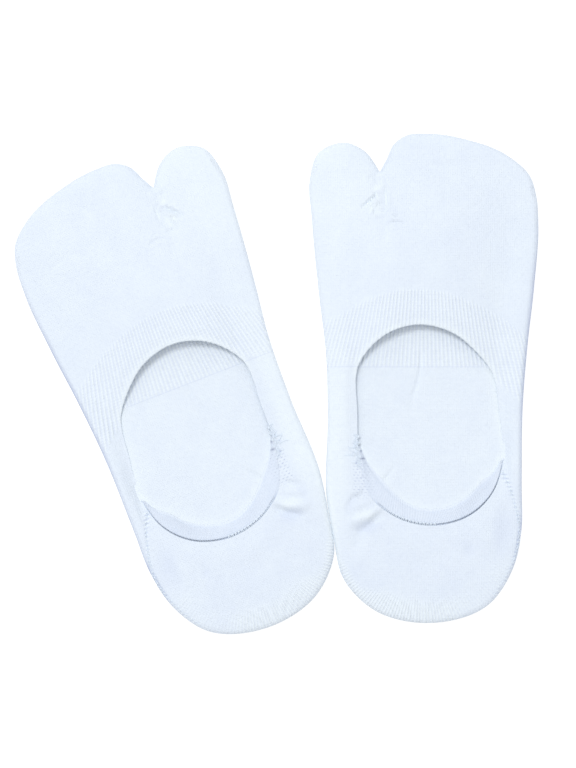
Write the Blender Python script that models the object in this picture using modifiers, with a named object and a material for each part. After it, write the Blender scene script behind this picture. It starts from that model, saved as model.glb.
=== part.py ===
"""A pair of split-toe no-show socks, laid flat side by side with their heels together.

Each sock is one knitted tube: a flat sole layer, round side folds and an upper layer that
lies over the sole and ends at an open mouth. The toe end is parted into a big-toe lobe and
a wider lobe for the other toes. An elastic welt lines the heel half of the mouth: it lies
on the sole inside the mouth and reaches back under the upper's edge.

The right sock is worked out in its own frame, in millimetres: across the foot towards the
little toe, along the foot from the heel end towards the toes, and up. The left sock is its
mirror image, turned so that its toes lean away. The pair's origin is the middle of its
box, on the surface that it lies on. +Y points towards the right sock's toes, +Z up.
"""

import math
from collections import namedtuple

import bpy
from mathutils import Matrix, Vector

MM = 0.001

# Cloth.
KNIT_WALL = 1.1
WELT_WALL = 1.0
SEAM_GAP = 0.35
CROWN_RATE = 0.012          # swell of the upper over each millimetre of its span

# Steps of the mesh.
FOLD_BANDS = 4
UPPER_BANDS = 5
WELT_STATIONS = 20

# The welt hides this far under the upper's edge.
WELT_TUCK = 2.2
# The first and last mouth points that the welt hangs from, as point numbers round the mouth.
WELT_FIRST = 31
WELT_LAST = 51

# Where the heel ends of the two socks lie, and how far the left sock is turned.
HEEL_SPACING = 65.2
HEEL_STAGGER = 1.2
LEFT_TURN = math.radians(21.1)

Edge = namedtuple("Edge", "place across along thickness steps")
Lip = namedtuple("Lip", "place across along height steps")
Border = namedtuple("Border", "place across along")
Knit = namedtuple("Knit", "name colour roughness")

# The flat outline, from the notch round the toes, down the outer side, round the heel and
# back up the inner side. thickness is both layers and the air between them at the fold.
OUTLINE = (
    Edge("notch", -20.0, 194.4, 3.2, 2),
    Edge("lobe wall", -17.4, 199.2, 3.6, 2),
    Edge("lobe shoulder", -13.6, 206.6, 3.8, 2),
    Edge("lobe top", -8.6, 210.0, 4.0, 2),
    Edge("toe crest", 0.6, 210.8, 4.0, 3),
    Edge("toe front", 17.2, 208.3, 4.0, 3),
    Edge("toe slope", 34.9, 201.4, 4.0, 2),
    Edge("little toe", 44.8, 192.2, 4.2, 2),
    Edge("toe corner", 47.4, 183.6, 4.4, 2),
    Edge("outer toe side", 48.2, 172.0, 4.4, 3),
    Edge("outer ball", 46.4, 145.0, 4.4, 3),
    Edge("outer arch", 43.6, 120.0, 4.2, 3),
    Edge("outer waist", 41.6, 95.0, 4.0, 3),
    Edge("outer ankle", 41.1, 60.0, 4.0, 2),
    Edge("outer heel side", 40.9, 40.0, 4.2, 2),
    Edge("outer heel turn", 37.6, 24.6, 4.4, 2),
    Edge("outer heel", 27.6, 9.0, 4.4, 4),
    Edge("heel end", -1.0, 0.4, 4.4, 3),
    Edge("inner heel", -22.5, 6.5, 4.4, 2),
    Edge("inner heel turn", -34.9, 20.4, 4.2, 2),
    Edge("inner heel side", -39.2, 36.0, 4.0, 2),
    Edge("inner ankle", -41.0, 56.0, 3.6, 3),
    Edge("inner waist", -41.8, 88.0, 3.4, 3),
    Edge("inner arch", -43.3, 118.0, 3.4, 3),
    Edge("inner ball", -46.0, 140.5, 3.6, 3),
    Edge("big toe base", -49.3, 175.0, 3.8, 2),
    Edge("big toe side", -50.2, 190.5, 4.0, 2),
    Edge("big toe shoulder", -46.1, 202.8, 4.0, 2),
    Edge("big toe top", -34.4, 206.9, 4.0, 2),
    Edge("big toe slope", -25.8, 202.8, 3.6, 2),
)

# The edge of the mouth in the upper, from its front middle down the outer side, round the
# heel and back up the inner side. height is the top of the cloth above the surface.
MOUTH = (
    Lip("front middle", -5.0, 129.0, 5.6, 12),
    Lip("front outer", 12.0, 125.1, 5.5, 8),
    Lip("outer turn", 21.0, 117.9, 5.0, 5),
    Lip("outer corner", 28.4, 108.4, 4.4, 4),
    Lip("outer side", 31.6, 91.0, 3.9, 3),
    Lip("outer end", 32.2, 68.0, 3.9, 2),
    Lip("outer heel", 29.2, 55.6, 4.2, 2),
    Lip("heel outer", 19.8, 46.9, 4.5, 4),
    Lip("heel middle", 4.0, 42.0, 4.6, 4),
    Lip("heel inner", -12.0, 45.1, 4.5, 3),
    Lip("inner heel", -24.0, 54.6, 4.2, 3),
    Lip("inner end", -30.0, 70.5, 4.0, 3),
    Lip("inner side", -29.8, 90.0, 4.1, 3),
    Lip("inner corner", -29.0, 112.6, 4.8, 4),
    Lip("front inner", -18.0, 124.7, 5.5, 13),
)

# The welt's free border on the sole, from its pointed outer end to its broad inner end.
WELT_BORDER = (
    Border("outer point", 29.6, 70.0),
    Border("outer swell", 25.0, 62.6),
    Border("outer bend", 19.6, 56.3),
    Border("heel outer", 10.5, 50.8),
    Border("heel middle", 1.0, 49.2),
    Border("heel inner", -8.6, 52.2),
    Border("inner bend", -17.0, 60.0),
    Border("inner swell", -24.0, 68.4),
    Border("inner end", -26.8, 74.6),
)

SOCK_KNIT = Knit("sock_knit", (0.80, 0.88, 0.96), 0.92)
WELT_KNIT = Knit("welt_knit", (0.66, 0.74, 0.86), 0.88)


def spline(rows, steps, closed):
    """Points of a smooth curve through the rows, with steps[i] of them from row i on."""
    count = len(rows)

    def row(index):
        return rows[index % count] if closed else rows[min(max(index, 0), count - 1)]

    def slope(index):
        before = (row(index) - row(index - 1)).length
        after = (row(index + 1) - row(index)).length
        if before == 0.0:
            return (row(index + 1) - row(index)) / after
        if after == 0.0:
            return (row(index) - row(index - 1)) / before
        back = (row(index) - row(index - 1)) / before
        ahead = (row(index + 1) - row(index)) / after
        return (back * after + ahead * before) / (before + after)

    points = []
    for index in range(count if closed else count - 1):
        start, end = row(index), row(index + 1)
        reach = (end - start).length
        leave, arrive = slope(index) * reach, slope(index + 1) * reach
        for step in range(steps[index]):
            t = step / steps[index]
            points.append(
                start * (2 * t**3 - 3 * t**2 + 1)
                + leave * (t**3 - 2 * t**2 + t)
                + end * (3 * t**2 - 2 * t**3)
                + arrive * (t**3 - t**2)
            )
    return points


def outline_points():
    """The outline as (across, along, thickness), with a sharp corner at the notch."""
    rows = [Vector((row.across, row.along, row.thickness)) for row in OUTLINE]
    return spline(rows + [rows[0]], [row.steps for row in OUTLINE], closed=False)


def mouth_points():
    """The mouth's edge as (across, along, height), one point for each outline point."""
    rows = [Vector((row.across, row.along, row.height)) for row in MOUTH]
    return spline(rows, [row.steps for row in MOUTH], closed=True)


def inward(points, index):
    """The unit direction into a loop that runs clockwise, at one of its points."""
    after = points[(index + 1) % len(points)]
    run = after - points[index - 1]
    return Vector((run.y, -run.x)).normalized()


def fold_column(outline, index):
    """The round side fold at one outline point, from the sole up to the upper."""
    edge = outline[index]
    radius = edge.z / 2
    into = inward(outline, index)
    column = []
    for band in range(FOLD_BANDS + 1):
        turn = math.pi * (band / FOLD_BANDS - 0.5)
        inset = radius * (1 - math.cos(turn))
        up = radius * (1 + math.sin(turn))
        column.append(Vector((edge.x + into.x * inset, edge.y + into.y * inset, up)))
    return column


def upper_column(fold_top, lip):
    """The upper layer from the top of the fold to the mouth's edge."""
    span = math.hypot(lip.x - fold_top.x, lip.y - fold_top.y)
    column = []
    for band in range(1, UPPER_BANDS + 1):
        t = band / UPPER_BANDS
        point = fold_top.lerp(lip, t)
        ease = t * t * (3 - 2 * t)
        swell = CROWN_RATE * span * 4 * t * (1 - t)
        point.z = fold_top.z + (lip.z - fold_top.z) * ease + swell
        column.append(point)
    return column


def part_way(points, share):
    """The place at a share of the way along a list of points."""
    at = share * (len(points) - 1)
    first = min(int(at), len(points) - 2)
    return points[first].lerp(points[first + 1], at - first)


def mesh_from(name, points, faces, placement):
    """A mesh of the given faces, in metres, placed in the pair's frame."""
    mesh = bpy.data.meshes.new(name)
    mesh.from_pydata([point * MM for point in points], [], faces)
    mesh.transform(placement)
    if placement.determinant() < 0:
        mesh.flip_normals()
    mesh.shade_smooth()
    return mesh


def knit_material(knit):
    """A plain knitted finish."""
    material = bpy.data.materials.new(knit.name)
    material.use_nodes = True
    shader = material.node_tree.nodes["Principled BSDF"]
    shader.inputs["Base Color"].default_value = (*knit.colour, 1.0)
    shader.inputs["Roughness"].default_value = knit.roughness
    shader.inputs["Metallic"].default_value = 0.0
    return material


def add_cloth(name, mesh, thickness, offset, material, collection):
    """An object whose open surface gets the cloth's thickness."""
    cloth = bpy.data.objects.new(name, mesh)
    collection.objects.link(cloth)
    mesh.materials.append(material)
    wall = cloth.modifiers.new("wall", "SOLIDIFY")
    wall.thickness = thickness * MM
    wall.offset = offset
    wall.use_even_offset = True
    return cloth


def sock_mesh(name, placement):
    """The outer skin of a sock: sole, side folds and upper, open at the mouth."""
    outline = outline_points()
    mouth = mouth_points()
    if len(outline) != len(mouth):
        raise ValueError("the outline and the mouth need the same number of points")
    columns = []
    for index, lip in enumerate(mouth):
        fold = fold_column(outline, index)
        columns.append(fold + upper_column(fold[-1], lip))
    tall = len(columns[0])
    around = len(columns)
    faces = [[column * tall for column in range(around)]]
    for column in range(around):
        beside = (column + 1) % around
        for up in range(tall - 1):
            faces.append([
                column * tall + up,
                column * tall + up + 1,
                beside * tall + up + 1,
                beside * tall + up,
            ])
    points = [point for column in columns for point in column]
    return mesh_from(name, points, faces, placement)


def welt_mesh(name, placement):
    """The middle surface of a heel welt, from its free border to under the upper's edge."""
    rows = [Vector((row.across, row.along, 0.0)) for row in WELT_BORDER]
    fine = spline(rows, [8] * (len(rows) - 1), closed=False) + [rows[-1]]
    mouth = mouth_points()
    lips = mouth[WELT_FIRST:WELT_LAST + 1]
    outward = [-inward(mouth, index) for index in range(WELT_FIRST, WELT_LAST + 1)]
    low = KNIT_WALL + SEAM_GAP + WELT_WALL / 2
    points = []
    for station in range(WELT_STATIONS + 1):
        share = station / WELT_STATIONS
        free = part_way(fine, share)
        lip = part_way(lips, share)
        away = part_way(outward, share).normalized()
        high = lip.z - KNIT_WALL - SEAM_GAP - WELT_WALL / 2
        tucked = Vector((lip.x, lip.y)) + away * WELT_TUCK
        points.append(Vector((free.x, free.y, low)))
        points.append(Vector((lip.x, lip.y, high)))
        points.append(Vector((tucked.x, tucked.y, high)))
    wide = len(points) // (WELT_STATIONS + 1)
    faces = []
    for station in range(WELT_STATIONS):
        for lane in range(wide - 1):
            corner = station * wide + lane
            faces.append([corner, corner + wide, corner + wide + 1, corner + 1])
    return mesh_from(name, points, faces, placement)


def placements():
    """Where the right and the left sock lie, with the pair's box centred on the origin."""
    right = Matrix.Identity(4)
    mirror = Matrix.Diagonal((-1.0, 1.0, 1.0, 1.0))
    shift = Matrix.Translation((-HEEL_SPACING * MM, -HEEL_STAGGER * MM, 0.0))
    left = shift @ Matrix.Rotation(LEFT_TURN, 4, "Z") @ mirror
    flat = [Vector((edge.x, edge.y, 0.0)) * MM for edge in outline_points()]
    spread = [matrix @ point for matrix in (right, left) for point in flat]
    middle = Vector((
        (min(point.x for point in spread) + max(point.x for point in spread)) / 2,
        (min(point.y for point in spread) + max(point.y for point in spread)) / 2,
        0.0,
    ))
    centre = Matrix.Translation(-middle)
    return {"right": centre @ right, "left": centre @ left}


def build():
    """Both socks, each with its heel welt."""
    for thing in list(bpy.data.objects):
        bpy.data.objects.remove(thing, do_unlink=True)
    pair = bpy.data.collections.new("pair_of_tabi_socks")
    bpy.context.scene.collection.children.link(pair)
    sock_knit = knit_material(SOCK_KNIT)
    welt_knit = knit_material(WELT_KNIT)
    for side, placement in placements().items():
        sock = sock_mesh(f"{side}_sock", placement)
        add_cloth(f"{side}_sock", sock, KNIT_WALL, -1.0, sock_knit, pair)
        welt = welt_mesh(f"{side}_heel_welt", placement)
        add_cloth(f"{side}_heel_welt", welt, WELT_WALL, 0.0, welt_knit, pair)


build()
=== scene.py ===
"""Looks of a pair of split-toe no-show socks, laid flat side by side.

Every sock is worked out in its own frame, in millimetres: u across the foot towards the
little toe, v along the foot from the heel end towards the toes, z up from the surface that
it lies on. The left sock is the right one's mirror image, turned. A placement takes those
millimetres to the frame's metres. Places round the sock are counted in stations, which the
outline's table and the mouth's table share.
"""

import logging
import math
from dataclasses import dataclass, field
from enum import Enum
from typing import Callable, Iterable, NamedTuple

import bpy
import numpy as np
from mathutils import Matrix, Vector
from mathutils.kdtree import KDTree


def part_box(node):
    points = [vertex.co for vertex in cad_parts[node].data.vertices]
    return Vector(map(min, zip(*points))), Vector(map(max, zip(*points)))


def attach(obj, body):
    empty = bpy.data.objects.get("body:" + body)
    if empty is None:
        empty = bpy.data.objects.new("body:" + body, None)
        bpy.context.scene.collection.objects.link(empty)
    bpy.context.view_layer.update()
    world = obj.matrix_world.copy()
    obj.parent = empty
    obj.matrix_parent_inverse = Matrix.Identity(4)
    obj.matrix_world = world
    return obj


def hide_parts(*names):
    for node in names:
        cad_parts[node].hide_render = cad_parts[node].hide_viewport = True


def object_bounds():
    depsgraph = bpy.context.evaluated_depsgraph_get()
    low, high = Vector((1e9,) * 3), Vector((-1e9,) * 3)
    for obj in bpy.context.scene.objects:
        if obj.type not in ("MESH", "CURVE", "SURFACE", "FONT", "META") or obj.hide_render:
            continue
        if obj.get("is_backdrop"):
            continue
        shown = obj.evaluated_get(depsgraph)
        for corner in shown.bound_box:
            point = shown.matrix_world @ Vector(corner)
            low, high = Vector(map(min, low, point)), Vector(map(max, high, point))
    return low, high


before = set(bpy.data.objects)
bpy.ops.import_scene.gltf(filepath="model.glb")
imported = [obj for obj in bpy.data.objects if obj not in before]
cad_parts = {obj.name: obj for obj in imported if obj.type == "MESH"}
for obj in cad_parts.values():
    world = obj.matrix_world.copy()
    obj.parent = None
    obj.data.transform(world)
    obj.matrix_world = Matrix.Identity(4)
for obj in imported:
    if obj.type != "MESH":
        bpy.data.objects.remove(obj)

logging.basicConfig(level=logging.INFO, format="%(message)s")
log = logging.getLogger("tabi_socks")

MM = 0.001
TURN = 2.0 * math.pi
OUTLINE_STEPS = 20
MOUTH_STEPS = 10


class Side(Enum):
    """Which foot a sock is for."""

    RIGHT = "right"
    LEFT = "left"


class Edge(NamedTuple):
    """A named place on the flat outline, and the thickness of the folded sock there."""

    place: str
    u: float
    v: float
    thickness: float
    steps: int


class Lip(NamedTuple):
    """A named place on the mouth's edge, the height of the cloth's top and its wall there."""

    place: str
    u: float
    v: float
    height: float
    wall: float
    steps: int


class Border(NamedTuple):
    """A named place on the heel welt's free border."""

    place: str
    u: float
    v: float


class Crease(NamedTuple):
    """A soft trough (depth above zero) or ridge (below zero) between two places."""

    u0: float
    v0: float
    u1: float
    v1: float
    width: float
    depth: float
    bow: float


class Spot(NamedTuple):
    """A soft oval patch: where, how wide across and along, and how strong."""

    u: float
    v: float
    across: float
    along: float
    strength: float


class Zone(NamedTuple):
    """A soft-edged stretch of the sock. Each pair says where it is none and where full."""

    across: tuple[tuple[float, float], ...] = ()
    along: tuple[tuple[float, float], ...] = ()

    def at(self, u: np.ndarray, v: np.ndarray) -> np.ndarray:
        """How far each place is in the zone, from 0 to 1."""
        return fades(self.across, u) * fades(self.along, v)


OUTLINE = (
    Edge("notch", -20.0, 194.4, 3.2, 2),
    Edge("lobe wall", -17.4, 199.2, 3.6, 2),
    Edge("lobe shoulder", -13.6, 206.6, 3.8, 2),
    Edge("lobe top", -8.6, 210.0, 4.0, 2),
    Edge("toe crest", 0.6, 210.8, 4.0, 3),
    Edge("toe front", 17.2, 208.3, 4.0, 3),
    Edge("toe slope", 34.9, 201.4, 4.0, 2),
    Edge("little toe", 44.8, 192.2, 4.2, 2),
    Edge("toe corner", 47.4, 183.6, 4.4, 2),
    Edge("outer toe side", 48.2, 172.0, 4.4, 3),
    Edge("outer ball", 46.4, 145.0, 4.4, 3),
    Edge("outer arch", 43.6, 120.0, 4.2, 3),
    Edge("outer waist", 41.6, 95.0, 4.0, 3),
    Edge("outer ankle", 41.1, 60.0, 4.0, 2),
    Edge("outer heel side", 40.9, 40.0, 4.2, 2),
    Edge("outer heel turn", 37.6, 24.6, 4.4, 2),
    Edge("outer heel", 27.6, 9.0, 4.4, 4),
    Edge("heel end", -1.0, 0.4, 4.4, 3),
    Edge("inner heel", -23.0, 6.3, 4.4, 2),
    Edge("inner heel turn", -36.1, 20.3, 4.2, 2),
    Edge("inner heel side", -39.7, 36.0, 4.0, 2),
    Edge("inner ankle", -42.9, 55.0, 3.6, 3),
    Edge("inner waist", -42.4, 88.0, 3.4, 3),
    Edge("inner arch", -43.3, 118.0, 3.4, 3),
    Edge("inner ball", -46.0, 140.5, 3.6, 3),
    Edge("big toe base", -49.3, 175.0, 3.8, 2),
    Edge("big toe side", -50.2, 190.5, 4.0, 2),
    Edge("big toe shoulder", -46.1, 202.8, 4.0, 2),
    Edge("big toe top", -34.4, 206.9, 4.0, 2),
    Edge("big toe slope", -25.8, 202.8, 3.6, 2),
)

MOUTH = (
    Lip("front middle", -5.0, 129.0, 6.6, 1.1, 12),
    Lip("front outer", 12.0, 125.1, 5.9, 1.1, 8),
    Lip("outer turn", 21.0, 117.9, 4.3, 0.9, 5),
    Lip("outer corner", 28.4, 108.4, 2.2, 0.45, 4),
    Lip("outer side", 31.6, 91.0, 1.55, 0.28, 3),
    Lip("outer end", 32.6, 66.6, 1.8, 0.35, 2),
    Lip("outer heel", 29.0, 56.4, 3.7, 0.9, 2),
    Lip("heel outer", 19.8, 46.9, 4.2, 1.0, 4),
    Lip("heel middle", 4.0, 42.0, 4.2, 1.0, 4),
    Lip("heel inner", -12.0, 45.1, 3.9, 0.8, 3),
    Lip("inner heel", -24.0, 54.6, 3.5, 0.5, 3),
    Lip("inner end", -28.8, 71.0, 3.0, 0.45, 3),
    Lip("inner side", -29.8, 90.0, 2.8, 0.7, 3),
    Lip("inner corner", -29.0, 112.6, 4.2, 0.9, 4),
    Lip("front inner", -18.0, 124.7, 6.9, 1.1, 13),
)

WELT_BORDER = (
    Border("outer point", 32.0, 70.0),
    Border("outer swell", 28.6, 64.8),
    Border("outer slope", 24.4, 61.6),
    Border("outer bend", 19.6, 56.3),
    Border("heel outer", 10.5, 50.8),
    Border("heel middle", 1.0, 49.2),
    Border("heel inner", -8.6, 52.2),
    Border("inner bend", -14.8, 57.4),
    Border("inner swell", -20.0, 63.6),
    Border("inner shoulder", -24.6, 68.6),
    Border("inner end", -28.3, 76.3),
)

# Troughs and ridges of the upper: the notch's gathers, the heel's inner folds,
# the toes' faint wrinkles and the heel's hollows.
UPPER_CREASES = (
    Crease(-20.2, 186.0, -27.4, 179.0, 0.65, 1.05, 0.2),
    Crease(-19.4, 184.9, -24.4, 179.6, 0.75, -0.70, 0.2),
    Crease(-19.9, 194.4, -20.1, 191.8, 0.60, 0.70, 0.0),
    Crease(-24.0, 191.4, -20.8, 190.5, 0.90, 0.55, 0.0),
    Crease(-21.6, 189.0, -20.4, 187.8, 0.60, 0.55, 0.0),
    Crease(-18.5, 194.0, -18.8, 187.6, 0.80, -0.50, 0.2),
    Crease(-17.8, 186.6, -17.6, 180.6, 0.55, 0.45, 0.2),
    Crease(-22.7, 179.6, -22.3, 176.8, 0.50, 0.50, 0.0),
    Crease(-17.7, 179.0, -19.3, 176.0, 0.50, 0.45, 0.0),
    Crease(-21.0, 174.5, -18.7, 174.2, 0.50, 0.60, 0.0),
    Crease(-16.3, 171.9, -9.8, 171.7, 0.60, 0.45, 0.9),
    Crease(-20.8, 183.0, -23.8, 176.5, 0.60, -0.50, 0.2),
    Crease(-19.4, 182.4, -19.9, 176.2, 0.50, -0.50, 0.0),
    Crease(-16.2, 186.0, -15.8, 178.0, 0.70, -0.30, 0.0),
    Crease(-14.6, 175.3, -12.4, 175.0, 0.50, 0.30, 0.0),
    Crease(-18.6, 170.6, -18.0, 165.0, 0.70, 0.25, 0.2),
    Crease(28.0, 179.4, 33.6, 177.0, 0.8, 0.25, 0.4),
    Crease(17.0, 176.6, 24.0, 180.8, 0.8, 0.20, 0.5),
    Crease(2.0, 196.6, 12.5, 198.0, 1.2, 0.20, -1.0),
    Crease(6.4, 188.6, 8.2, 178.0, 1.3, 0.15, 0.8),
    Crease(16.0, 171.0, 22.0, 168.0, 0.8, 0.15, 0.4),
    Crease(-20.4, 49.6, -31.4, 44.0, 2.0, -1.50, 0.5),
    Crease(-20.4, 46.4, -28.6, 40.4, 1.6, 1.45, 0.6),
    Crease(-27.4, 56.4, -32.0, 53.8, 1.0, 0.85, 0.3),
    Crease(-31.8, 53.8, -33.6, 48.2, 1.5, 0.40, -0.4),
    Crease(-24.0, 53.0, -32.0, 49.6, 1.3, -0.55, 0.2),
    Crease(-28.0, 38.6, -31.0, 33.0, 2.4, 0.45, 0.4),
    Crease(33.0, 48.0, 32.0, 33.0, 3.4, 0.50, 1.2),
    Crease(18.8, 34.0, 17.6, 30.0, 1.6, 0.35, 0.2),
    Crease(24.0, 39.0, 26.0, 34.0, 3.0, -0.35, 0.5),
    Crease(8.0, 30.0, -6.0, 26.0, 4.0, 0.30, 1.5),
    Crease(-12.0, 38.0, -4.0, 33.0, 3.0, -0.30, 0.8),
    Crease(33.8, 77.4, 33.8, 70.6, 0.9, 0.50, 0.2),
    Crease(32.6, 64.6, 35.3, 60.0, 0.55, 0.30, 0.0),
    Crease(35.3, 60.0, 37.0, 54.8, 0.55, 0.35, 0.0),
    Crease(37.0, 54.8, 38.3, 49.7, 0.55, 0.35, 0.0),
    Crease(38.3, 49.7, 39.4, 45.4, 0.55, 0.35, 0.0),
    Crease(36.2, 72.0, 37.0, 62.0, 1.2, -0.35, 0.4),
)

# The sole's faint middle crease, the nick beside the welt, and soft unevenness.
SOLE_CREASES = (
    Crease(-1.6, 117.0, -5.6, 98.0, 0.9, 0.65, 0.8),
    Crease(-5.4, 98.0, -7.2, 90.0, 1.2, 0.20, 0.3),
    Crease(-14.3, 66.4, -18.4, 61.9, 0.7, 0.60, 0.2),
    Crease(14.0, 100.0, 20.0, 90.0, 3.0, 0.15, 1.0),
    Crease(-18.0, 86.0, -10.0, 78.0, 3.5, 0.15, 1.0),
)

# The gore line, from the mouth over the heel's outer side and on along its fold.
GORE_PATH = (
    (33.1, 64.6), (35.3, 60.0), (37.0, 54.8), (38.3, 49.7), (39.5, 45.0), (40.0, 40.0),
    (39.6, 35.0), (38.4, 30.0), (36.2, 24.8), (33.2, 18.6), (29.2, 12.6),
)

# Soft patches of the upper's colour: painted shade in hollows (below zero) and painted highlights
# on swellings (above zero).
PAINTED_SHADE_AND_HIGHLIGHTS = (
    Spot(32.0, 40.0, 4.5, 9.0, -0.45),
    Spot(-26.0, 46.8, 5.0, 2.2, 0.80),
    Spot(-24.4, 42.0, 5.0, 2.6, -0.70),
    Spot(-33.0, 50.0, 2.0, 4.0, -0.35),
    Spot(18.0, 32.0, 2.2, 3.0, -0.30),
    Spot(27.0, 38.0, 2.4, 5.0, 0.30),
    Spot(-23.4, 178.8, 1.5, 1.3, 0.65),
    Spot(-21.8, 187.2, 1.1, 1.1, 0.75),
    Spot(-17.4, 182.8, 0.6, 3.0, 0.50),
    Spot(-19.3, 181.5, 0.5, 2.4, -0.60),
    Spot(-20.8, 179.0, 0.6, 2.0, 0.70),
)

# Painted shade in the gaps between yarns at the inner join.
GAP_SHADE_SPOTS = (
    Spot(-27.3, 71.1, 1.1, 0.40, 1.0),
    Spot(-27.9, 74.4, 0.6, 0.60, 0.7),
    Spot(-30.0, 69.6, 0.5, 0.60, 0.6),
    Spot(-31.4, 73.4, 0.5, 0.40, 0.5),
    Spot(-28.4, 67.0, 0.9, 0.30, 0.3),
    Spot(-27.6, 63.2, 0.9, 0.35, 0.4),
    Spot(-29.4, 62.8, 0.5, 0.35, 0.3),
)

# The ribbed arch band's two edges on the upper, as (u, v).
BAND_TOP = (
    (-46.0, 128.0), (-41.3, 130.5), (-34.4, 133.9), (-28.4, 138.0), (-19.8, 141.3),
    (-11.2, 143.4), (-2.6, 143.8), (6.0, 142.6), (14.6, 140.4), (23.2, 136.5),
    (31.8, 132.0), (38.7, 126.6), (46.0, 121.5),
)
BAND_FOOT = ((-42.0, 110.0), (-29.0, 113.0), (27.0, 108.0), (33.0, 102.0), (40.5, 95.5))

# Where ribs, stitches, tints, painted shade and painted light fade in and out.
SOLE_BAND = Zone(along=((110.0, 111.2), (143.7, 142.3)))
SOLE_LEDGE = Zone(across=((26.0, 22.0),))
JOIN = Zone(across=((-32.0, -30.8), (-20.5, -25.5)), along=((53.0, 58.0), (71.0, 69.5)))
GORE_TOP = Zone(along=((57.0, 61.0),))
HEEL_RIBS = Zone(across=((-41.0, -34.0),), along=((32.0, 22.0),))
HEEL_RIBS_FAINT = Zone(across=((8.0, 20.0),))
HEEL_RIBS_LONG = Zone(across=((-30.0, -16.0),))
HEEL = Zone(along=((75.0, 30.0),))
BIG_TOE = Zone(across=((-16.0, -24.0),), along=((150.0, 185.0),))
TOES = Zone(along=((130.0, 185.0),))
OUTER_SIDE = Zone(across=((10.0, 25.0),), along=((12.0, 40.0), (182.0, 165.0)))
OUTER_ARCH = Zone(along=((75.0, 100.0), (165.0, 140.0)))
OUTER_HEEL = Zone(along=((24.0, 32.0), (48.0, 42.0)))
INNER_SIDE = Zone(across=((-31.0, -37.0),), along=((30.0, 60.0),))
INNER_FRONT = Zone(along=((100.0, 135.0),))
TOUCHING = Zone(across=((-34.0, -39.0),), along=((20.0, 28.0), (66.0, 58.0)))
MOUTH_FRONT = Zone(along=((100.0, 112.0),))
OUTER_LIP_STATIONS = ((22.0, 25.0), (34.0, 32.0))


@dataclass(frozen=True)
class Cloth:
    """Thicknesses, yarn sizes and reaches of the knit, in millimetres."""

    wall: float = 1.1
    rib_pitch: float = 1.75
    rib_height: float = 0.11
    sole_rib_height: float = 0.16
    band_top_fade: float = 0.7
    band_foot_fade: float = 0.9
    fan_reach: float = 150.0
    fan_base: float = 116.0
    heel_rib_pitch: float = 1.38
    heel_u: float = -2.0
    heel_v: float = 40.0
    heel_radius: float = 38.0
    heel_rib_length: float = 5.0
    heel_rib_growth: float = 8.0
    heel_rib_solid: float = 0.4
    heel_rib_loss: float = 0.65
    gore_pitch: float = 1.75
    gore_width: float = 0.60
    gore_flare: float = 0.50
    join_row: float = 1.25
    join_dash: float = 1.90
    join_slant: float = 3.1
    crease_ends: float = 0.35


@dataclass(frozen=True)
class Tints:
    """How strongly each zone is lightened or darkened, and the soft lines' widths: painted shade,
    painted light and highlights, and plain tints.
    """

    # Painted shade along the folded edge, stronger on the outer side, and its width.
    edge: float = 0.08
    outer_edge_shade: float = 0.92
    outer_base: float = 0.45
    outer_arch: float = 0.45
    outer_heel: float = 0.50
    edge_width: float = 0.95
    big_toe: float = 0.25
    heel: float = -0.12
    # Painted light on the inner side and along the edge where the two heels touch.
    inner_side_painted_light: float = 0.50
    inner_front_loss: float = 0.70
    touching_painted_light: float = 1.20
    touching_width: float = 1.8
    # A painted highlight along the mouth's front edge.
    mouth_front_highlight: float = 0.80
    mouth_front_width: float = 1.4
    # The sole's tint, then painted highlights beside the welt's free border and inside the outer
    # lip, and their width.
    sole: float = 0.12
    border: float = 0.40
    outer_lip_highlight: float = 0.45
    highlight_width: float = 2.6


CLOTH = Cloth()
TINTS = Tints()


def smooth(low: np.ndarray | float, high: np.ndarray | float, value: np.ndarray) -> np.ndarray:
    """A smooth step from 0 at low to 1 at high."""
    t = np.clip((value - low) / (high - low), 0.0, 1.0)
    return t * t * (3.0 - 2.0 * t)


def fades(pairs: Iterable[tuple[float, float]], value: np.ndarray) -> np.ndarray:
    """The product of smooth steps, each from none at a pair's first value to full."""
    share = np.ones_like(value)
    for none, full in pairs:
        share = share * smooth(none, full, value)
    return share


def bell(value: np.ndarray, width: np.ndarray | float) -> np.ndarray:
    """A soft bump of height 1 at zero, which dies away beyond the width."""
    return np.exp(-((value / width) ** 2))


def walked(points: np.ndarray) -> np.ndarray:
    """The length walked along a line of points, at each of them."""
    legs = np.linalg.norm(np.diff(points, axis=0), axis=1)
    return np.concatenate([[0.0], np.cumsum(legs)])


def flat_tree(points: np.ndarray) -> KDTree:
    """A search tree of points by their places on the flat."""
    tree = KDTree(len(points))
    for number, place in enumerate(points):
        tree.insert((place[0], place[1], 0.0), number)
    tree.balance()
    return tree


def nearest(points: np.ndarray, u: np.ndarray, v: np.ndarray) -> tuple[np.ndarray, np.ndarray]:
    """How far each place lies from the nearest of some points, and that point's number."""
    tree = flat_tree(points)
    found = [tree.find((a, b, 0.0)) for a, b in zip(u, v)]
    return np.array([hit[2] for hit in found]), np.array([hit[1] for hit in found])


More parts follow.
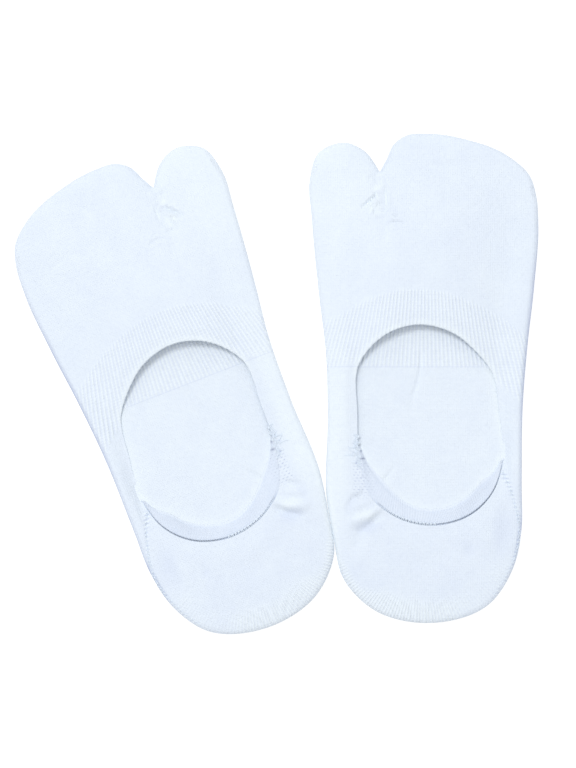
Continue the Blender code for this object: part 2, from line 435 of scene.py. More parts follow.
def spline(rows: np.ndarray, at: np.ndarray, stations: np.ndarray, closed: bool) -> np.ndarray:
    """Points of a smooth curve through the rows.

    Args:
        rows: The rows, one point each.
        at: The station of each row, rising, with the closing row's one at the end.
        stations: Where the curve is wanted.
        closed: Whether the curve joins its own start without a corner.

    Returns:
        One point for each station.
    """
    if closed:
        knots = np.vstack([rows[-1:], rows, rows[:2]])
    else:
        knots = np.vstack([rows[:1], rows, rows[-1:]])
    legs = np.linalg.norm(np.diff(knots, axis=0), axis=1)[:, None]
    ways = np.diff(knots, axis=0) / np.maximum(legs, 1e-9)
    slopes = (ways[:-1] * legs[1:] + ways[1:] * legs[:-1]) / (legs[:-1] + legs[1:])
    span = np.clip(np.searchsorted(at, stations, side="right") - 1, 0, len(at) - 2)
    t = ((stations - at[span]) / (at[span + 1] - at[span]))[:, None]
    start, end = knots[span + 1], knots[span + 2]
    reach = legs[span + 1]
    leave, arrive = slopes[span] * reach, slopes[span + 1] * reach
    return (
        start * (2 * t**3 - 3 * t**2 + 1)
        + leave * (t**3 - 2 * t**2 + t)
        + end * (3 * t**2 - 2 * t**3)
        + arrive * (t**3 - t**2)
    )


def open_line(places: Iterable[tuple[float, float]], shares: np.ndarray) -> np.ndarray:
    """Points of a smooth open line through flat places, at shares of its row of places."""
    rows = np.array([(u, v, 0.0) for u, v in places])
    at = np.arange(len(rows)).astype(float)
    return spline(rows, at, shares * at[-1], closed=False)


def border_line(shares: np.ndarray) -> np.ndarray:
    """Points of the welt's free border, at shares of its row of places."""
    return open_line([(row.u, row.v) for row in WELT_BORDER], shares)


def starts(rows: tuple) -> np.ndarray:
    """The station at which each row of a table starts, and the last one's end."""
    return np.cumsum([0] + [row.steps for row in rows]).astype(float)


def outline_at(stations: np.ndarray) -> np.ndarray:
    """The outline's (u, v, thickness) at the given stations round the sock."""
    rows = np.array([(row.u, row.v, row.thickness) for row in OUTLINE])
    at = starts(OUTLINE)
    return spline(np.vstack([rows, rows[:1]]), at, np.mod(stations, at[-1]), closed=False)


def mouth_at(stations: np.ndarray) -> np.ndarray:
    """The mouth edge's (u, v, height) at the given stations round the sock."""
    rows = np.array([(row.u, row.v, row.height) for row in MOUTH])
    at = starts(MOUTH)
    return spline(rows, at, np.mod(stations, at[-1]), closed=True)


def lip_wall_at(stations: np.ndarray) -> np.ndarray:
    """The wall's thickness along the mouth's edge at the given stations."""
    walls = [row.wall for row in MOUTH]
    at = starts(MOUTH)
    return np.interp(np.mod(stations, at[-1]), at, walls + walls[:1])


STATIONS = int(starts(OUTLINE)[-1])


def all_round(steps: int) -> np.ndarray:
    """Stations once round the sock, so many steps to each whole one."""
    return np.linspace(0.0, STATIONS, STATIONS * steps + 1)[:-1]


def evenly(start: float, end: float, count: int, *curves: tuple[Callable, float]) -> np.ndarray:
    """Stations from start to end, spread evenly by the weighted lengths of some curves.

    Args:
        start: The first station.
        end: The last station.
        count: How many steps to make.
        curves: Pairs of a curve and its weight.

    Returns:
        count + 1 stations.
    """
    fine = np.linspace(start, end, 2000)
    total = sum(weight * walked(curve(fine)[:, :2]) for curve, weight in curves)
    return np.interp(np.linspace(0.0, total[-1], count + 1), total, fine)


def inward(run: np.ndarray) -> np.ndarray:
    """The unit directions into a loop that runs clockwise, from the way that it runs."""
    into = np.stack([run[:, 1], -run[:, 0]], axis=1)
    return into / np.linalg.norm(into, axis=1, keepdims=True)


def turned_in(points: np.ndarray) -> np.ndarray:
    """The unit directions into a closed loop that runs clockwise, at each of its points."""
    return inward(np.roll(points, -1, axis=0) - np.roll(points, 1, axis=0))


def crease_relief(creases: Iterable[Crease], u: np.ndarray, v: np.ndarray) -> np.ndarray:
    """How far the creases lower the cloth at each place, in millimetres."""
    drop = np.zeros_like(u)
    for crease in creases:
        run = np.array([crease.u1 - crease.u0, crease.v1 - crease.v0])
        length = np.hypot(*run)
        run = run / length
        along = (u - crease.u0) * run[0] + (v - crease.v0) * run[1]
        beside = (u - crease.u0) * -run[1] + (v - crease.v0) * run[0]
        t = np.clip(along / length, 0.0, 1.0)
        beside = beside - crease.bow * 4.0 * t * (1.0 - t)
        off = np.hypot(beside, along - t * length)
        middle = np.sin(np.pi * np.clip(0.15 + 0.7 * t, 0.0, 1.0))
        taper = CLOTH.crease_ends + (1.0 - CLOTH.crease_ends) * middle
        drop += crease.depth * taper * bell(off, crease.width)
    return drop


def spotted(spots: Iterable[Spot], u: np.ndarray, v: np.ndarray) -> np.ndarray:
    """The summed strength of soft oval spots at each place."""
    strength = np.zeros_like(u)
    for spot in spots:
        off = ((u - spot.u) / spot.across) ** 2 + ((v - spot.v) / spot.along) ** 2
        strength += spot.strength * np.exp(-off)
    return strength


def band_mask(u: np.ndarray, v: np.ndarray) -> np.ndarray:
    """How far a place on the upper is in the ribbed arch band, from 0 to 1."""
    below = np.interp(u, *zip(*BAND_TOP)) - v
    above = v - np.interp(u, *zip(*BAND_FOOT))
    top, foot = CLOTH.band_top_fade, CLOTH.band_foot_fade
    return smooth(-top, top, below) * smooth(-foot, foot, above)


def rib_wave(u: np.ndarray, v: np.ndarray) -> np.ndarray:
    """The fanned ribs' relief, from 0 in a valley to 1 on a ridge."""
    fan = u * CLOTH.fan_reach / (CLOTH.fan_reach - (v - CLOTH.fan_base))
    return 0.5 + 0.5 * np.cos(TURN * fan / CLOTH.rib_pitch)


def gore_line() -> tuple[np.ndarray, np.ndarray]:
    """Fine points of the gore line, and the way run at each."""
    line = open_line(GORE_PATH, np.linspace(0.0, 1.0, 600))
    return line, walked(line)


def gore_mask(u: np.ndarray, v: np.ndarray) -> np.ndarray:
    """How far a place is on the gore line, which is broader at its upper end."""
    broad = CLOTH.gore_width + CLOTH.gore_flare * GORE_TOP.at(u, v)
    return bell(nearest(gore_line()[0], u, v)[0], broad)


def heel_rib_mask(u: np.ndarray, v: np.ndarray, inside: np.ndarray) -> np.ndarray:
    """How far a place is in the heel end's short fine ribs, which fade out sideways."""
    across = HEEL_RIBS.at(u, v) * (1.0 - CLOTH.heel_rib_loss * HEEL_RIBS_FAINT.at(u, v))
    reach = CLOTH.heel_rib_length + CLOTH.heel_rib_growth * HEEL_RIBS_LONG.at(u, v)
    return across * (1.0 - smooth(reach * CLOTH.heel_rib_solid, reach, inside))


def heel_run(u: np.ndarray, v: np.ndarray) -> np.ndarray:
    """The way round the heel's end, constant along a rib that stands square to it."""
    return np.arctan2(u - CLOTH.heel_u, CLOTH.heel_v - v) * CLOTH.heel_radius


@dataclass
class Placement:
    """Where one sock lies in the frame: which foot it is for, and the left one's turn."""

    side: Side
    turn: float = math.radians(21.1)
    matrix: Matrix = field(init=False)

    def __post_init__(self) -> None:
        """Works out the matrix from the CAD node's box."""
        turned = Matrix.Identity(4)
        if self.mirrored:
            mirror = Matrix.Diagonal((-1.0, 1.0, 1.0, 1.0))
            turned = Matrix.Rotation(self.turn, 4, "Z") @ mirror
        flat = outline_at(all_round(OUTLINE_STEPS))[:, :2] * MM
        flat = flat @ np.array(turned)[:2, :2].T
        low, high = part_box(f"{self.side.value}_sock")
        middle = (flat.min(axis=0) + flat.max(axis=0)) / 2
        move = Matrix.Translation((
            (low[0] + high[0]) / 2 - middle[0],
            (low[1] + high[1]) / 2 - middle[1],
            low[2],
        ))
        self.matrix = move @ turned

    @property
    def mirrored(self) -> bool:
        """Whether shapes come out mirrored."""
        return self.side is Side.LEFT

    def place(self, points: np.ndarray) -> np.ndarray:
        """Points in the frame's metres, from the sock's millimetres."""
        rows = np.array(self.matrix)
        return points * MM @ rows[:3, :3].T + rows[:3, 3]


@dataclass
class Skin:
    """Points, faces and painted values of a surface in a sock's own frame."""

    points: np.ndarray
    faces: np.ndarray
    paints: dict[str, np.ndarray] = field(default_factory=dict)

    def normals(self) -> np.ndarray:
        """The unit normal at each point."""
        corners = self.points[self.faces]
        across = np.cross(corners[:, 2] - corners[:, 0], corners[:, 3] - corners[:, 1])
        total = np.zeros_like(self.points)
        for corner in range(4):
            np.add.at(total, self.faces[:, corner], across)
        return total / np.maximum(np.linalg.norm(total, axis=1, keepdims=True), 1e-12)

    def add(self, name: str, placement: Placement) -> bpy.types.Object:
        """A new object with this shape, its flat coordinates as UVs, and its paints."""
        faces = self.faces[:, ::-1] if placement.mirrored else self.faces
        mesh = bpy.data.meshes.new(name)
        mesh.from_pydata(placement.place(self.points).tolist(), [], faces.tolist())
        flat = mesh.uv_layers.new(name="flat")
        flat.data.foreach_set("uv", (self.points[faces.ravel(), :2] * MM).ravel())
        for paint, values in self.paints.items():
            layer = mesh.attributes.new(paint, "FLOAT", "POINT")
            layer.data.foreach_set("value", values.astype(np.float32))
        mesh.shade_smooth()
        mesh.update()
        thing = bpy.data.objects.new(name, mesh)
        bpy.context.scene.collection.objects.link(thing)
        return thing


def sharpen(mesh: bpy.types.Mesh, points: np.ndarray) -> None:
    """Keeps the edges sharp that join some points."""
    marked = np.zeros(len(mesh.vertices), bool)
    marked[points] = True
    ends = np.zeros(len(mesh.edges) * 2, np.int32)
    mesh.edges.foreach_get("vertices", ends)
    edge_mark = mesh.attributes.new("sharp_edge", "BOOLEAN", "EDGE")
    edge_mark.data.foreach_set("value", marked[ends.reshape(-1, 2)].all(axis=1))


def declare(piece: bpy.types.Object, node: str) -> None:
    """Hangs a finished piece under the root and hides the CAD node that it stands for.

    Args:
        piece: The finished piece.
        node: The CAD node that it stands for.
    """
    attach(piece, "root")
    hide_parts(node)
    log.info("%s: %d faces", piece.name, len(piece.data.polygons))


def grid_faces(number: np.ndarray) -> np.ndarray:
    """Faces of a grid of numbered points."""
    corners = [number[:-1, :-1], number[:-1, 1:], number[1:, 1:], number[1:, :-1]]
    return np.stack(corners, axis=-1).reshape(-1, 4)


def strip_faces(first: np.ndarray, second: np.ndarray) -> np.ndarray:
    """Faces between two closed loops of points with equal numbers."""
    return np.stack([first, second, np.roll(second, -1), np.roll(first, -1)], axis=-1)


def closed_slab(first: np.ndarray, second: np.ndarray) -> Skin:
    """A closed sheet between two grids of points.

    Args:
        first: Rows of points, each further on the left of the last as seen from outside.
        second: The same on the sheet's other side.

    Returns:
        The sheet, with its faces outward.
    """
    count = first.shape[0] * first.shape[1]
    number = np.arange(count).reshape(first.shape[:2])
    rim = np.concatenate([
        number[:-1, 0], number[-1, :-1], number[1:, -1][::-1], number[0, 1:][::-1],
    ])
    faces = [grid_faces(number)[:, ::-1], grid_faces(number) + count, strip_faces(rim, rim + count)]
    return Skin(np.vstack([first.reshape(-1, 3), second.reshape(-1, 3)]), np.vstack(faces))


def coons(bottom: np.ndarray, top: np.ndarray, left: np.ndarray, right: np.ndarray) -> np.ndarray:
    """A grid blended between four border curves.

    Args:
        bottom: The border from the left to the right corner, at the first row.
        top: The same at the last row.
        left: The border from the bottom to the top corner, at the first column.
        right: The same at the last column.

    Returns:
        The grid's points, rows by columns.
    """
    runs = [walked(curve[:, :2]) for curve in (left, right)]
    s = np.linspace(0.0, 1.0, len(bottom))[None, :, None]
    t = (sum(run / run[-1] for run in runs) / 2)[:, None, None]
    ruled = (1 - t) * bottom[None] + t * top[None]
    crossed = (1 - s) * left[:, None] + s * right[:, None]
    corners = (
        (1 - s) * (1 - t) * bottom[0] + s * (1 - t) * bottom[-1]
        + (1 - s) * t * top[0] + s * t * top[-1]
    )
    return ruled + crossed - corners


class Shade:
    """A shader value that Python arithmetic turns into Math nodes."""

    def __init__(self, finish: "Finish", socket: bpy.types.NodeSocket) -> None:
        """Holds a finish's socket."""
        self.finish = finish
        self.socket = socket

    def __add__(self, other: "Shade | float") -> "Shade":
        """The sum."""
        return self.finish.maths("ADD", self, other)

    def __radd__(self, other: float) -> "Shade":
        """The sum, from the right."""
        return self.finish.maths("ADD", other, self)

    def __sub__(self, other: "Shade | float") -> "Shade":
        """The difference."""
        return self.finish.maths("SUBTRACT", self, other)

    def __rsub__(self, other: float) -> "Shade":
        """The difference, from the right."""
        return self.finish.maths("SUBTRACT", other, self)

    def __mul__(self, other: "Shade | float") -> "Shade":
        """The product."""
        return self.finish.maths("MULTIPLY", self, other)

    def __rmul__(self, other: float) -> "Shade":
        """The product, from the right."""
        return self.finish.maths("MULTIPLY", other, self)

    def __truediv__(self, other: "Shade | float") -> "Shade":
        """The quotient."""
        return self.finish.maths("DIVIDE", self, other)

    def __abs__(self) -> "Shade":
        """The size without its sign."""
        return self.finish.maths("ABSOLUTE", self)

    def held(self, low: float | None = 0.0, high: float | None = None) -> "Shade":
        """The value held above the low limit and below the high one."""
        value = self
        if low is not None:
            value = self.finish.maths("MAXIMUM", value, low)
        if high is not None:
            value = self.finish.maths("MINIMUM", value, high)
        return value


class Finish:
    """Builds one material's nodes."""

    def __init__(self, name: str) -> None:
        """Makes a material with an empty shader."""
        self.material = bpy.data.materials.new(name)
        self.material.use_nodes = True
        self.tree = self.material.node_tree
        self.shader = self.tree.nodes["Principled BSDF"]

    def fill(self, socket: bpy.types.NodeSocket, value: "Shade | float | tuple") -> None:
        """Links a value to a socket, or sets it there."""
        if isinstance(value, Shade):
            self.tree.links.new(value.socket, socket)
        else:
            socket.default_value = value

    def node(self, kind: str, settings: dict, inputs: dict, output: str | int = 0) -> Shade:
        """A node of any kind.

        Args:
            kind: The node's type.
            settings: Its own settings, set first.
            inputs: Values or links for its sockets, by name or number.
            output: Which of its outputs is wanted.

        Returns:
            The wanted output.
        """
        made = self.tree.nodes.new(kind)
        for setting, value in settings.items():
            setattr(made, setting, value)
        for socket, value in inputs.items():
            self.fill(made.inputs[socket], value)
        return Shade(self, made.outputs[output])

    def maths(self, operation: str, *values: "Shade | float") -> Shade:
        """A Math node on the given values."""
        return self.node("ShaderNodeMath", {"operation": operation}, dict(enumerate(values)))

    def sine(self, value: Shade, pitch: float = TURN) -> Shade:
        """A wave between -1 and 1 that repeats at the pitch."""
        return self.maths("SINE", value * (TURN / pitch))

    def wave(self, value: Shade, pitch: float, shape: str = "SINE") -> Shade:
        """A wave between 0 and 1 that repeats at the pitch."""
        return 0.5 + self.maths(shape, value * (TURN / pitch)) * 0.5

    def paint(self, name: str) -> Shade:
        """A value painted on the mesh."""
        return self.node("ShaderNodeAttribute", {"attribute_name": name}, {}, "Fac")

    def flat(self) -> tuple[Shade, Shade]:
        """The flat coordinates, in millimetres across and along the foot."""
        spot = self.node("ShaderNodeUVMap", {"uv_map": "flat"}, {})
        parts = self.node("ShaderNodeSeparateXYZ", {}, {0: spot})
        along = Shade(self, parts.socket.node.outputs["Y"])
        return parts * (1 / MM), along * (1 / MM)

    def noise(self, scale: float, detail: float, roughness: float = 0.5) -> Shade:
        """Soft noise over the object, scale waves to the metre."""
        spot = self.node("ShaderNodeTexCoord", {}, {}, "Object")
        sizes = {"Vector": spot, "Scale": scale, "Detail": detail, "Roughness": roughness}
        return self.node("ShaderNodeTexNoise", {}, sizes)

    def mix(self, share: Shade, first: "tuple | Shade", second: "tuple | Shade") -> Shade:
        """A colour between two others, or past the second where the share is above 1."""
        settings = {"data_type": "RGBA", "clamp_factor": False}
        return self.node("ShaderNodeMix", settings, {"Factor": share, 6: first, 7: second}, 2)

    def shaded_join_dashes(self) -> Shade:
        """Short strokes of painted shade in uneven rows, for the gaps between the overlock's
        stitches where the join is painted.
        """
        u, v = self.flat()
        row = self.sine(v, CLOTH.join_row)
        beat = self.sine(u * (TURN / CLOTH.join_dash) + v * CLOTH.join_slant)
        uneven = (self.noise(900.0, 2.0) * 3.2 - 1.0).held()
        return row.held() * (beat + 0.5).held() * uneven * self.paint("join")

    def relief(self, height: Shade, distance: float) -> Shade:
        """A bumped normal, from a height in units of the distance."""
        inputs = {"Height": height, "Distance": distance, "Strength": 1.0}
        return self.node("ShaderNodeBump", {}, inputs, "Normal")

    def lay(self, **inputs: "Shade | float | tuple") -> None:
        """Links or sets the shader's sockets, named with underscores."""
        for name, value in inputs.items():
            self.fill(self.shader.inputs[name.replace("_", " ")], value)


@dataclass(frozen=True)
class KnitLook:
    """Colours, yarn sizes and strengths of the sock's knit, in linear colour and millimetres."""

    light: tuple = (0.775, 0.842, 0.908, 1.0)
    shade: tuple = (0.697, 0.763, 0.872, 1.0)
    # The colour of the painted shade along the folded edge, in gaps between yarns and stitches, and
    # between the gore chain's beads.
    painted_shade: tuple = (0.440, 0.500, 0.680, 1.0)
    wale: float = 0.95
    wale_lean: float = 2.2
    course: float = 0.70
    rib_course: float = 1.20
    # The ribs' light and shade, painted into the colour: ridges lighter, valleys darker.
    rib_painted_shading: float = 1.5
    rib_middle: float = 0.36
    ledge: float = 110.6
    ledge_width: float = 0.45
    ledge_dark: float = 0.9
    # Painted light over the heel end's fold, and the heel's fine ribs' painted light and shade.
    heel_painted_light: float = 0.60
    heel_rib_painted_shading: float = 0.40
    heel_relief: float = 0.45
    # Painted light and shade on the gore chain's beads, and painted shade in the join's gaps.
    chain_painted_light: float = 0.9
    chain_painted_shade: float = 0.40
    dash_painted_shade: float = 0.60
    base: float = 0.55
    brightest: float = 1.3
    roughness: float = 0.90
    sheen: float = 0.06
    relief: float = 0.00022

    def material(self, name: str) -> bpy.types.Material:
        """The plain knit, with ribs and stitches where they are painted, and painted light and
        shade mixed into its colour.
        """
        finish = Finish(name)
        u, v = finish.flat()
        band = finish.paint("band")
        fan = u * CLOTH.fan_reach / (CLOTH.fan_reach + CLOTH.fan_base - v)
        rib = finish.wave(fan, CLOTH.rib_pitch, "COSINE")
        dots = finish.wave(v, self.rib_course)
        ribbed = rib * 0.66 + dots * 0.14 + dots * rib * 0.20
        wale = abs(finish.sine(u, 2 * self.wale))
        stitch = finish.wave(v * (TURN / self.course) + wale * self.wale_lean, TURN)
        knit = wale * 0.55 + stitch * 0.45
        fuzz = finish.noise(2600.0, 2.0, 0.6)
        cloud = finish.noise(90.0, 4.0, 0.62)
        fleck = finish.noise(700.0, 3.0, 0.6)
        around = finish.paint("run") * (TURN / CLOTH.heel_rib_pitch)
        heel = finish.maths("COSINE", around) * finish.paint("heel")
        ledge = (1.0 - abs(v - self.ledge) / self.ledge_width).held() * finish.paint("ledge")
        chain = finish.sine(v, CLOTH.gore_pitch) * finish.paint("gore")
        # Besides random tint, the share carries the ribs' painted light and shade, the painted
        # light and highlights, and the heel's and the chain's painted light.
        tone_and_painted_light = (cloud - 0.5) * 0.9 + (fleck - 0.5) * 0.8 + (knit - 0.5) * 0.08 * (1.0 - band)
        tone_and_painted_light = tone_and_painted_light + (ribbed - self.rib_middle) * band * self.rib_painted_shading
        tone_and_painted_light = tone_and_painted_light + finish.paint("tone_and_painted_light") - ledge * self.ledge_dark + heel * self.heel_rib_painted_shading
        tone_and_painted_light = tone_and_painted_light + finish.paint("heel") * self.heel_painted_light + chain * self.chain_painted_light
        share = (self.base + tone_and_painted_light).held(0.0, self.brightest)
        # Painted shade: along the folded edge, in the gaps at the join and between the gore chain's
        # beads.
        dark = finish.paint("painted_shade") + finish.shaded_join_dashes() * self.dash_painted_shade
        dark = (dark + (0.0 - chain).held() * self.chain_painted_shade).held(None, 1.0)
        height = knit * 0.40 * (1.0 - band) + ribbed * band + fuzz * 0.7 + fleck * 1.1
        finish.lay(
            Base_Color=finish.mix(dark, finish.mix(share, self.shade, self.light), self.painted_shade),
            Roughness=self.roughness - 0.10 * fleck,
            Normal=finish.relief(height + heel * self.heel_relief, self.relief),
            Sheen_Weight=self.sheen,
            Sheen_Roughness=0.5,
            Specular_IOR_Level=0.2,
        )
        return finish.material


@dataclass(frozen=True)
class WeltLook:
    """Colours and rib size of the elastic welt, with its painted shade and painted highlight."""

    light: tuple = (0.735, 0.800, 0.893, 1.0)
    shade: tuple = (0.625, 0.696, 0.815, 1.0)
    # The colour of the painted shade in the gaps at the inner join.
    painted_shade: tuple = (0.300, 0.340, 0.460, 1.0)
    crossings: float = 8.0
    # Where the painted highlight towards the free border begins, as a share of the way across.
    rim: float = 0.86
    # The ribs' light and shade painted into the colour, and the painted shade in the join's gaps.
    rib_painted_shading: float = 0.35
    dash_painted_shade: float = 0.30
    roughness: float = 0.92
    sheen: float = 0.1
    relief: float = 0.00012

    def material(self, name: str) -> bpy.types.Material:
        """Fine ribs across the welt, with an elastic's duller yarn, its ribs' painted light and
        shade, a painted highlight along the free border and painted shade in the join's gaps.
        """
        finish = Finish(name)
        rib = finish.paint("rib")
        lane = finish.paint("lane")
        fleck = finish.noise(900.0, 3.0, 0.6)
        cloud = finish.noise(120.0, 3.0, 0.6)
        cross = finish.wave(lane, 1 / self.crossings)
        # A painted highlight, lighter towards the rolled free border.
        rim = (lane - self.rim).held() / (1.0 - self.rim)
        tone_and_painted_light = 0.5 + (rib - 0.5) * self.rib_painted_shading + (fleck - 0.5) * 1.0 + (cloud - 0.5) * 0.8
        share = (tone_and_painted_light + rim).held(0.0, 1.0)
        # Painted shade in the gaps at the join.
        dark = (finish.paint("painted_shade") + finish.shaded_join_dashes() * self.dash_painted_shade).held(None, 1.0)
        finish.lay(
            Base_Color=finish.mix(dark, finish.mix(share, self.shade, self.light), self.painted_shade),
            Roughness=self.roughness - 0.12 * fleck,
            Normal=finish.relief(rib + fleck * 0.8 + cross * 0.35, self.relief),
            Sheen_Weight=self.sheen,
            Specular_IOR_Level=0.2,
        )
        return finish.material


@dataclass(frozen=True)
class ThreadLook:
    """Colour of the linking and overlock threads."""

    light: tuple = (0.80, 0.87, 0.94, 1.0)
    shade: tuple = (0.66, 0.74, 0.84, 1.0)
    roughness: float = 0.75
    relief: float = 0.0001

    def material(self, name: str) -> bpy.types.Material:
        """Twisted sewing thread."""
        finish = Finish(name)
        fleck = finish.noise(2200.0, 2.0, 0.6)
        finish.lay(
            Base_Color=finish.mix(fleck, self.shade, self.light),
            Roughness=self.roughness + 0.15 * fleck,
            Normal=finish.relief(fleck, self.relief),
            Specular_IOR_Level=0.25,
        )
        return finish.material


class Looks:
    """The materials that the pieces share."""

    def __init__(self) -> None:
        """Makes the knit, the welt's ribs and the thread."""
        self.knit = KnitLook().material("sock_knit_looped")
        self.welt = WeltLook().material("welt_ribbed")
        self.thread = ThreadLook().material("thread_twisted")


@dataclass
class SockBody:
    """One sock's knitted tube, as an upper with its side folds and a sole."""

    placement: Placement
    looks: Looks
    strip: int = 36
    front: int = 204
    rows: int = 108
    back: int = 290
    fold_bands: int = 5
    lip_bands: int = 4
    sole_columns: int = 200
    sole_rows: int = 190
    puff: float = 0.5
    puff_reach: float = 3.0
    puff_clear: float = 6.0
    swell: float = 0.9
    swell_start: float = 14.0
    swell_reach: float = 40.0
    swell_clear: float = 30.0
    rib_start: float = 2.5
    crease_start: float = 3.0
    thinning: float = 4.5
    crowding: float = 45.0
    outer_toe: float = 17.0
    outer_corner: float = 25.0
    outer_heel: float = 34.0
    inner_heel: float = 49.0
    inner_corner: float = 56.0
    inner_toe: float = 66.0
    flat: tuple = (0.101, 0.214)
    upper_area: float = 0.0142
    sole_area: float = 0.0166
    upper: Skin = field(init=False)

    @staticmethod
    def fold_ring(stations: np.ndarray, turn: float = 0.5 * math.pi) -> np.ndarray:
        """One ring of the round side fold, turned from -90 at the sole to 90 degrees on top."""
        step = 0.02
        edge = outline_at(stations)
        run = outline_at(stations + step)[:, :2] - outline_at(stations - step)[:, :2]
        radius = edge[:, 2] / 2
        inset = radius * (1 - math.cos(turn))
        ring = edge[:, :2] + inward(run) * inset[:, None]
        return np.column_stack([ring, radius * (1 + math.sin(turn))])

    def lines(self, stations: np.ndarray) -> np.ndarray:
        """Lines over the upper from the side fold to the mouth, one for each station."""
        t = np.linspace(0.0, 1.0, self.strip + 1)[None, :, None]
        start, end = self.fold_ring(stations)[:, None], mouth_at(stations)[:, None]
        lines = start + (end - start) * t
        rise = (end[..., 2] - start[..., 2]) * smooth(0.0, 1.0, t[..., 0])
        lines[..., 2] = start[..., 2] + rise
        return lines

    def toe_patch(self) -> tuple[np.ndarray, np.ndarray]:
        """The toe half's grid, and the stations up its inner side, over and down again."""
        def level(stations: np.ndarray) -> np.ndarray:
            """The outline's places across the foot alone."""
            return outline_at(stations)[:, :2] * (1.0, 0.0)

        def crowd(stations: np.ndarray) -> np.ndarray:
            """A way that grows only along the toes, and so crowds the rows there."""
            u, v = outline_at(stations)[:, :2].T
            return np.column_stack([self.crowding * TOES.at(u, v), 0.0 * v])

        both = ((outline_at, 1.0), (crowd, 1.0))
        left = evenly(self.inner_corner, self.inner_toe, self.rows, *both)
        right = evenly(self.outer_corner, self.outer_toe, self.rows, *both)
        both = ((outline_at, 0.5), (level, 0.5))
        columns = 2 * self.strip + self.front
        top = evenly(self.inner_toe, STATIONS + self.outer_toe, columns, *both)
        mouth_end = STATIONS + self.outer_corner
        mouth = evenly(self.inner_corner, mouth_end, self.front, (mouth_at, 1.0))
        inner, outer = self.lines(np.array([self.inner_corner, self.outer_corner]))
        bottom = np.vstack([inner[:-1], mouth_at(mouth), outer[::-1][1:]])
        grid = coons(bottom, *(self.fold_ring(side) for side in (top, left, right)))
        return grid, np.concatenate([left[:-1], top[:-1], right[1:][::-1]])

    def build_upper(self) -> Skin:
        """The upper's outer skin with its folds, then its wall and its rounded lip."""
        toe, stations = self.toe_patch()
        both = ((outline_at, 0.5), (mouth_at, 1.0))
        around = evenly(self.outer_corner, self.inner_corner, self.back, *both)
        heel = self.lines(around)
        toe_number = np.arange(toe.shape[0] * toe.shape[1]).reshape(toe.shape[:2])
        heel_number = np.arange(heel.shape[0] * heel.shape[1]).reshape(heel.shape[:2])
        heel_number += toe_number.size
        heel_number[0] = toe_number[0, ::-1][:self.strip + 1]
        heel_number[-1] = toe_number[0, :self.strip + 1]
        points = np.vstack([toe.reshape(-1, 3), heel.reshape(-1, 3)])
        loop = np.concatenate([
            toe_number[:-1, 0], toe_number[-1, :-1], toe_number[1:, -1][::-1], heel_number[:-1, 0],
        ])
        stations = np.concatenate([stations, around[:-1]])
        lip = np.concatenate([toe_number[0, self.strip:-self.strip - 1], heel_number[:-1, -1]])

        faces = [grid_faces(toe_number), grid_faces(heel_number)]
        rings = [self.shaped(points, loop)]
        count = len(points)
        above = loop
        for band in range(1, self.fold_bands + 1):
            rings.append(self.fold_ring(stations, math.pi * (0.5 - band / self.fold_bands)))
            below = count + np.arange(len(loop))
            faces.append(strip_faces(above, below)[:, ::-1])
            count += len(loop)
            above = below
        points, faces = np.vstack(rings), np.vstack(faces)
        used = np.unique(faces)
        renumber = np.full(len(points), -1)
        renumber[used] = np.arange(len(used))
        self.upper = Skin(points[used], renumber[faces])
        bottom = renumber[above]
        self.upper.points[bottom, 2] = 0.0
        return self.walled(self.upper, renumber[lip], bottom)

    def shaped(self, points: np.ndarray, loop: np.ndarray) -> np.ndarray:
        """The upper with its soft fullness, ribs and creases."""
        u, v = points[:, 0], points[:, 1]
        inside = nearest(points[loop], u, v)[0]
        clear = self.from_mouth(u, v)[0]
        puff = self.puff * (1.0 - np.exp(-inside / self.puff_reach))
        height = puff * smooth(0.0, self.puff_clear, clear)
        swell = self.swell * smooth(0.0, self.swell_start, inside)
        swell *= smooth(0.0, self.swell_reach, inside)
        height += swell * smooth(0.0, self.swell_clear, clear)
        ribs = CLOTH.rib_height * rib_wave(u, v) * band_mask(u, v)
        height += ribs * smooth(0.0, self.rib_start, inside)
        creases = crease_relief(UPPER_CREASES, u, v)
        height -= creases * smooth(0.0, self.crease_start, inside)
        return points + height[:, None] * (0.0, 0.0, 1.0)

    @staticmethod
    def from_mouth(u: np.ndarray, v: np.ndarray) -> tuple[np.ndarray, np.ndarray]:
        """Each place's distance from the mouth's edge, and the station nearest to it."""
        stations = all_round(MOUTH_STEPS)
        away, number = nearest(mouth_at(stations), u, v)
        return away, stations[number]

    def walled(self, outer: Skin, lip: np.ndarray, bottom: np.ndarray) -> Skin:
        """The skin with an inner wall, a rounded lip and a closed lower rim."""
        normals = outer.normals()
        normals[bottom] = (0.0, 0.0, -1.0)
        count = len(outer.points)
        away, station = self.from_mouth(outer.points[:, 0], outer.points[:, 1])
        thinned = (lip_wall_at(station) - CLOTH.wall) * bell(away, self.thinning)
        wall = (CLOTH.wall + thinned)[:, None]
        points = [outer.points, outer.points - normals * wall]
        faces = [outer.faces, (outer.faces + count)[:, ::-1]]
        rim = outer.points[lip]
        into = np.column_stack([turned_in(rim[:, :2]), np.zeros(len(rim))])
        half = wall[lip] / 2
        centre = rim - normals[lip] * half
        number = 2 * count
        above = lip
        for band in range(1, self.lip_bands):
            turn = math.pi * band / self.lip_bands
            points.append(centre + half * (math.cos(turn) * normals[lip] + math.sin(turn) * into))
            below = number + np.arange(len(lip))
            faces.append(strip_faces(above, below))
            number += len(lip)
            above = below
        faces.append(strip_faces(above, lip + count))
        faces.append(strip_faces(bottom, bottom + count)[:, ::-1])
        return Skin(np.vstack(points), np.vstack(faces))

    def build_sole(self) -> Skin:
        """The sole layer, flat below and softly uneven above."""
        def rim(start: float, end: float, count: int) -> np.ndarray:
            """The sole's edge between two stations."""
            return self.fold_ring(evenly(start, end, count, (outline_at, 1.0)), -0.5 * math.pi)

